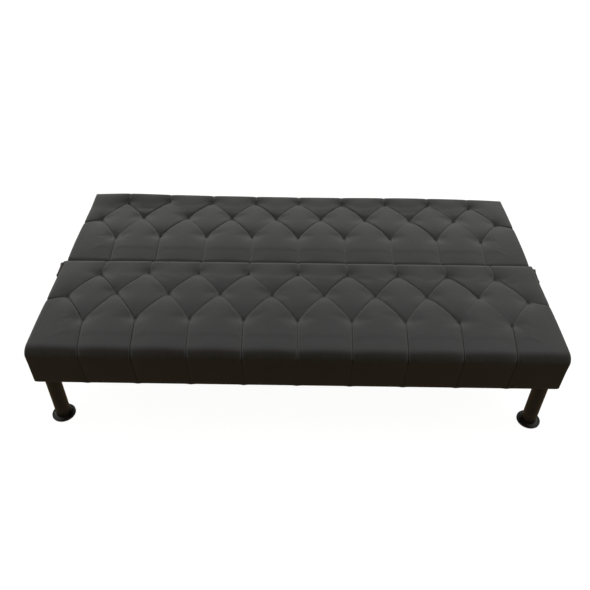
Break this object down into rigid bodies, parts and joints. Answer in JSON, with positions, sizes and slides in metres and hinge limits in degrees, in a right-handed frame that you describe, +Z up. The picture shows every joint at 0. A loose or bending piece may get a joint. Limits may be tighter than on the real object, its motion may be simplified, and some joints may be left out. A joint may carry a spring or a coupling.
{
  "type": "futon sofa bed",
  "caption": "Armless click-clack sofa bed with a deep-tufted faux-leather seat and backrest on short round legs, lying flat; side ratchet hinges raise the backrest.",
  "frame": {"origin": "on the floor under the middle of the bed, bottom centre of its box as it lies flat", "axes": "+X along the bed's length to the right, +Y from the front edge to the rear edge, +Z up"},
  "size_m": [1.726, 0.919, 0.34],
  "materials": {
    "faux_leather": "satin, fine pebble grain",
    "dust_fabric": "matt non-woven",
    "foam": "open-cell foam",
    "timber": "sawn, unfinished",
    "deck_board": "smooth hardboard",
    "tuft_cord": "twisted cord",
    "black_steel": "satin powder coat",
    "hinge_steel": "satin black",
    "plated_steel": "zinc plated",
    "black_hardware": "black oxide",
    "black_plastic": "satin moulded",
    "black_rubber": "matt"
  },
  "bodies": {
    "seat": {"front_left_leg": "black_steel", "front_leg_screws": "black_hardware", "front_right_leg": "black_steel", "hinge_pawl_rivets": "plated_steel", "hinge_pawl_springs": "plated_steel", "hinge_pivot_rivets": "plated_steel", "hinge_spacer_rivets": "plated_steel", "hinge_thrust_washers": "plated_steel", "left_hinge_outer_plate": "hinge_steel", "left_hinge_seat_plate": "hinge_steel", "left_support_rail": "black_steel", "leg_feet": "black_plastic", "rear_left_leg": "black_steel", "rear_leg_bolts": "black_hardware", "rear_right_leg": "black_steel", "right_hinge_outer_plate": "hinge_steel", "right_hinge_seat_plate": "hinge_steel", "right_support_rail": "black_steel", "seat_corner_blocks": "timber", "seat_cover": "faux_leather", "seat_cross_slats": "timber", "seat_deck_panel": "deck_board", "seat_dust_cover": "dust_fabric", "seat_edge_padding": "foam", "seat_foam": "foam", "seat_frame_screws": "plated_steel", "seat_front_rail": "timber", "seat_hinge_bolts": "black_hardware", "seat_hinge_spacers": "plated_steel", "seat_hinge_tee_nuts": "plated_steel", "seat_left_rail": "timber", "seat_rear_rail": "timber", "seat_right_rail": "timber", "seat_tuft_ties": "tuft_cord", "support_bumpers": "black_rubber", "support_cross_tube": "black_steel", "support_end_caps": "black_plastic", "support_rail_bolts": "black_hardware", "support_rail_spacers": "black_hardware"},
    "back": {"back_cover": "faux_leather", "back_cross_slats": "timber", "back_deck_panel": "deck_board", "back_dust_cover": "dust_fabric", "back_edge_padding": "foam", "back_foam": "foam", "back_frame_screws": "plated_steel", "back_hinge_bolts": "black_hardware", "back_hinge_spacers": "plated_steel", "back_hinge_tee_nuts": "plated_steel", "back_left_rail": "timber", "back_lower_rail": "timber", "back_right_rail": "timber", "back_tuft_ties": "tuft_cord", "back_upper_rail": "timber", "left_hinge_back_arm": "hinge_steel", "right_hinge_back_arm": "hinge_steel"},
    "right_pawl": {"right_hinge_pawl": "hinge_steel"},
    "left_pawl": {"left_hinge_pawl": "hinge_steel"}
  },
  "joints": [
    {"name": "back_recline", "type": "hinge", "parent": "seat", "child": "back", "pos_m": [0, 0.008, 0.318], "axis": [1, 0, 0], "range_deg": [0, 80]},
    {"name": "right_pawl_lift", "type": "hinge", "parent": "seat", "child": "right_pawl", "pos_m": [0, -0.03599, 0.27083], "axis": [1, 0, 0], "range_deg": [0, 9.3]},
    {"name": "left_pawl_lift", "type": "hinge", "parent": "seat", "child": "left_pawl", "pos_m": [0, -0.03599, 0.27083], "axis": [1, 0, 0], "range_deg": [0, 9.3]}
  ]
}
